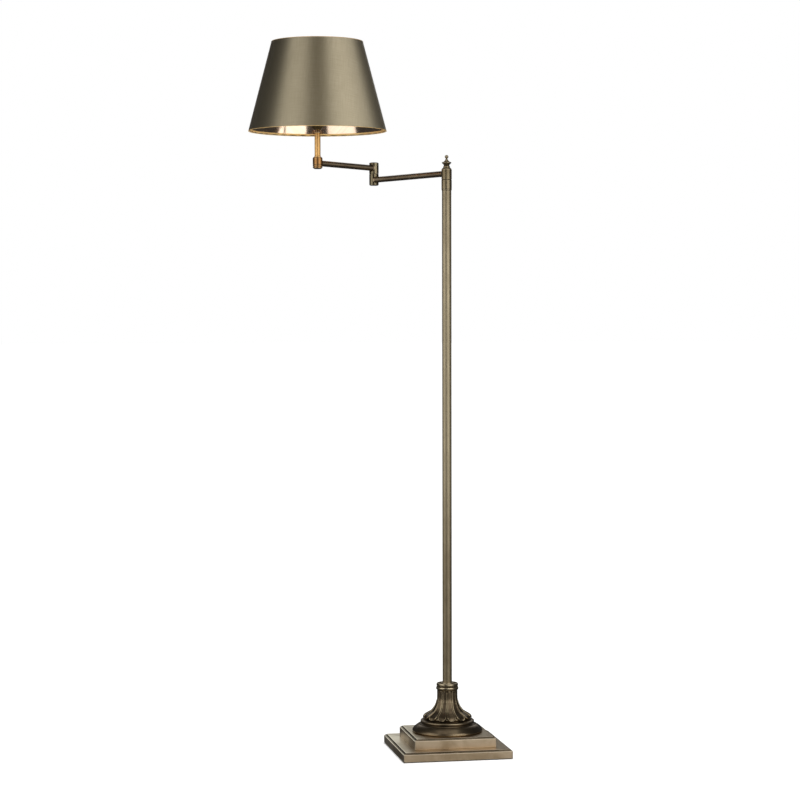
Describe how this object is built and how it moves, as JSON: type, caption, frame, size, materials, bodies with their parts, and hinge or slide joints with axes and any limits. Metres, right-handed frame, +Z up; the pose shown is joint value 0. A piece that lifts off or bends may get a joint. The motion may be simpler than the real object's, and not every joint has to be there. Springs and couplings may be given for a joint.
{
  "type": "pharmacy floor lamp",
  "caption": "Swing-arm floor lamp: stepped square base, fluted foot, slim pole, jointed horizontal arm and an upright stem with a tapered shade.",
  "frame": {"origin": "on the pole's axis, at the underside of the felt pad, which is the floor", "axes": "+Z up along the pole; the square base's front faces -Y and its flex inlet is on +Y; +X is to the right as seen from the front"},
  "size_m": [0.5268, 0.3843, 1.5191],
  "materials": {
    "antique_bronze": "satin, brushed and lacquered",
    "dark_bronze": "satin, dark antique patina",
    "warm_brass": "satin, lightly patinated",
    "plain_brass": "satin",
    "steel": "satin, zinc plated",
    "iron": "matte",
    "felt": "matte",
    "black_rubber": "matte",
    "ceramic": "satin",
    "frosted_glass": "satin",
    "shade_cloth": "satin, metallic olive-taupe laminate",
    "copper_foil": "gloss, metallised lining",
    "nylon": "matte"
  },
  "bodies": {
    "base": {"felt_pad": "felt", "lower_plinth": "antique_bronze", "upper_plinth": "antique_bronze", "base_weight": "iron", "base_washer": "steel", "base_nut": "steel", "cord_bush": "black_rubber", "cord_bush_nut": "black_rubber", "fluted_foot": "dark_bronze", "foot_collar": "antique_bronze", "seat_ring": "antique_bronze", "pole_tube": "antique_bronze", "pole_plug": "plain_brass", "base_rod": "steel", "hub_socket": "antique_bronze", "hub_bush": "nylon", "hub_spindle": "steel", "finial": "antique_bronze"},
    "inner_arm": {"hub_knuckle": "antique_bronze", "inner_arm_tube": "antique_bronze", "elbow_low_knuckle": "antique_bronze", "elbow_low_cap": "antique_bronze", "elbow_bush": "nylon", "elbow_bolt": "steel", "elbow_nut": "steel"},
    "outer_arm": {"elbow_high_knuckle": "antique_bronze", "elbow_high_cap": "antique_bronze", "outer_arm_tube": "dark_bronze", "head_knuckle": "warm_brass", "head_cap": "warm_brass", "stem_washer": "warm_brass", "stem_tube": "warm_brass", "stem_rod": "steel", "holder_ring": "dark_bronze", "holder_cap": "plain_brass", "holder_skirt": "plain_brass", "holder_insert": "ceramic", "holder_contact": "plain_brass", "shade_nut": "plain_brass", "bulb_cap": "steel", "bulb_globe": "frosted_glass", "shade_cover": "shade_cloth", "shade_lining": "copper_foil", "shade_bottom_wire": "steel", "shade_bottom_hem": "copper_foil", "shade_top_wire": "steel", "shade_top_hem": "copper_foil", "shade_gimbal": "steel", "shade_spoke_1": "steel", "shade_spoke_2": "steel", "shade_spoke_3": "steel"},
    "switch": {"switch_knob": "dark_bronze"}
  },
  "joints": [
    {"name": "hub_swivel", "type": "hinge", "parent": "base", "child": "inner_arm", "pos_m": [0, 0, 1.2337], "axis": [0, 0, 1], "range_deg": [-165, 165]},
    {"name": "elbow_swivel", "type": "hinge", "parent": "inner_arm", "child": "outer_arm", "pos_m": [-0.11165, 0.25678, 1.24675], "axis": [0, 0, 1], "range_deg": [-277, 52]},
    {"name": "switch_turn", "type": "hinge", "parent": "outer_arm", "child": "switch", "pos_m": [-0.26111, 0.12962, 1.351], "axis": [0, 1, 0], "range_deg": [0, 90]}
  ]
}
